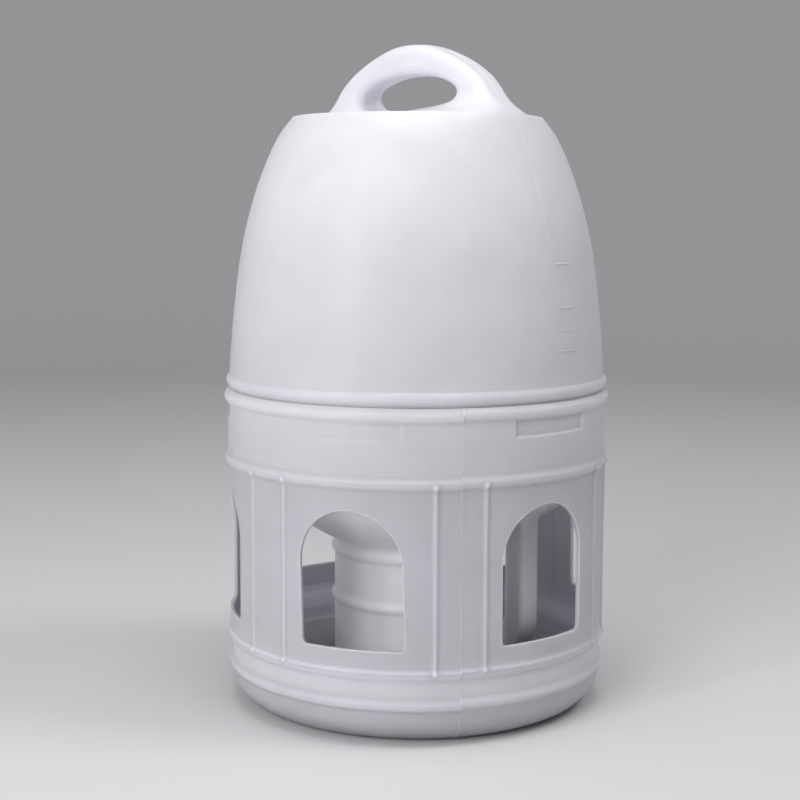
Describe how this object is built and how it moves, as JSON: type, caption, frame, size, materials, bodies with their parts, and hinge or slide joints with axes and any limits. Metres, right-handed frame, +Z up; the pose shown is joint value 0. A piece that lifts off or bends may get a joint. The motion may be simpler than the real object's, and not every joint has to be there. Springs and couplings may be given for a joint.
{
  "type": "gravity poultry feeder",
  "caption": "Bell-shaped reservoir with a carrying handle, standing in a round trough base with arched feeding windows; it lifts off to be filled.",
  "frame": {"origin": "centre of the base's flat foot, on the floor", "axes": "+Z up along the axis of both mouldings, -Y through the middle of the front feeding window's bay"},
  "size_m": [0.1964, 0.1964, 0.3324],
  "materials": {
    "base_plastic": "satin, translucent white",
    "reservoir_plastic": "satin, translucent white"
  },
  "bodies": {
    "base": {"base": "base_plastic"},
    "reservoir": {"reservoir": "reservoir_plastic"}
  },
  "joints": [
    {"name": "reservoir_lift", "type": "slide", "parent": "base", "child": "reservoir", "axis": [0, 0, 1], "range_m": [0, 0.18]}
  ]
}
